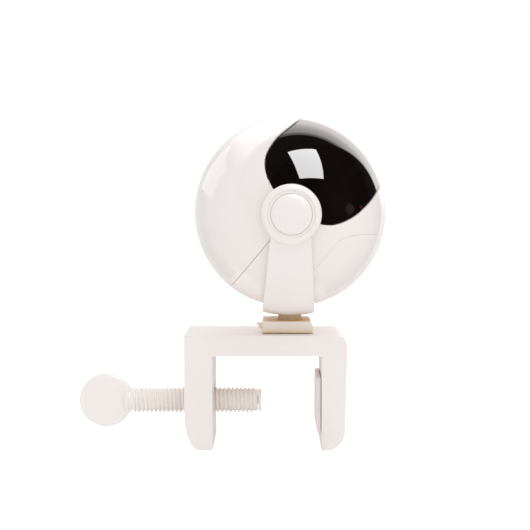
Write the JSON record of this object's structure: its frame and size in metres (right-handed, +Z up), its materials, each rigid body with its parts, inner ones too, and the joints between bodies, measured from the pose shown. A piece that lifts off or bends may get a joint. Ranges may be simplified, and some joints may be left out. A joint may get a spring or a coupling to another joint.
{
  "type": "baby monitor camera",
  "caption": "Ball-shaped nursery camera that tilts in a yoke and pans on a screw clamp for a cot rail.",
  "frame": {"origin": "middle of the clamp bar's underside, the face that sits on the rail", "axes": "+Z up; +X across the jaw, from the thumb screw to the fixed jaw; +Y along the rail"},
  "size_m": [0.1455, 0.1044, 0.155],
  "materials": {
    "shell_white": "polished moulded white plastic",
    "satin_white": "satin moulded white plastic",
    "clamp_white": "satin moulded cream-white plastic",
    "visor_black": "polished infrared-passing black plastic",
    "pad_rubber": "soft matt rubber",
    "steel": "zinc-plated steel",
    "board_green": "solder mask on fibreglass",
    "black_plastic": "fine matt moulded black plastic",
    "lens_glass": "coated glass",
    "led_clear": "clear epoxy",
    "led_red": "red epoxy",
    "battery_wrap": "heat-shrink film",
    "copper": "bare copper strip"
  },
  "bodies": {
    "clamp": {"clamp_frame": "clamp_white", "clamp_pad": "pad_rubber", "swivel_base": "clamp_white", "base_screw_1": "steel", "base_screw_2": "steel"},
    "yoke": {"yoke_frame": "satin_white", "pan_washer": "steel", "pan_screw": "steel"},
    "head": {"upper_shell": "shell_white", "lower_shell": "shell_white", "bottom_cover": "shell_white", "hub_cap_near": "satin_white", "hub_cap_far": "satin_white", "visor": "visor_black", "pivot_screw_near": "steel", "pivot_screw_far": "steel", "pivot_washer_near": "steel", "pivot_washer_far": "steel", "shell_screw_1": "steel", "shell_screw_2": "steel", "shell_screw_3": "steel", "shell_screw_4": "steel", "board_screw_1": "steel", "board_screw_2": "steel", "cover_screw": "steel", "microphone": "steel", "camera_board": "board_green", "ir_board": "board_green", "main_board": "board_green", "camera_bracket": "black_plastic", "lens_holder": "black_plastic", "lens_barrel": "black_plastic", "trunnion_near": "black_plastic", "trunnion_far": "black_plastic", "dc_inlet": "black_plastic", "power_switch": "black_plastic", "lens_glass": "lens_glass", "ir_led_1": "led_clear", "ir_led_2": "led_clear", "ir_led_3": "led_clear", "ir_led_4": "led_clear", "ir_led_5": "led_clear", "ir_led_6": "led_clear", "light_sensor": "led_clear", "status_led": "led_red", "battery": "battery_wrap", "antenna": "copper"},
    "screw_foot": {"screw_foot": "clamp_white"},
    "clamp_screw": {"clamp_screw": "clamp_white"},
    "power_button": {"power_button": "shell_white"}
  },
  "joints": [
    {"name": "pan", "type": "hinge", "parent": "clamp", "child": "yoke", "pos_m": [0.0108, 0, 0.0155], "axis": [0, 0, 1], "range_deg": [-170, 170]},
    {"name": "tilt", "type": "hinge", "parent": "yoke", "child": "head", "pos_m": [0.0108, 0, 0.0663], "axis": [0, 1, 0], "range_deg": [-14, 96]},
    {"name": "screw_travel", "type": "slide", "parent": "clamp", "child": "screw_foot", "axis": [1, 0, 0], "range_m": [-0.0195, 0.0245]},
    {"name": "screw_turn", "type": "hinge", "parent": "screw_foot", "child": "clamp_screw", "pos_m": [0, 0, -0.0236], "axis": [1, 0, 0], "range_deg": [-3510, 4410]},
    {"name": "button_press", "type": "slide", "parent": "head", "child": "power_button", "axis": [0.9291, 0, 0.3698], "range_m": [0, 0.0005], "stiffness_N_per_m": 400, "springref_m": -0.001}
  ],
  "couplings": [
    {"joint": "screw_travel", "follows": "screw_turn", "m_per_rad": 0.00031831}
  ]
}
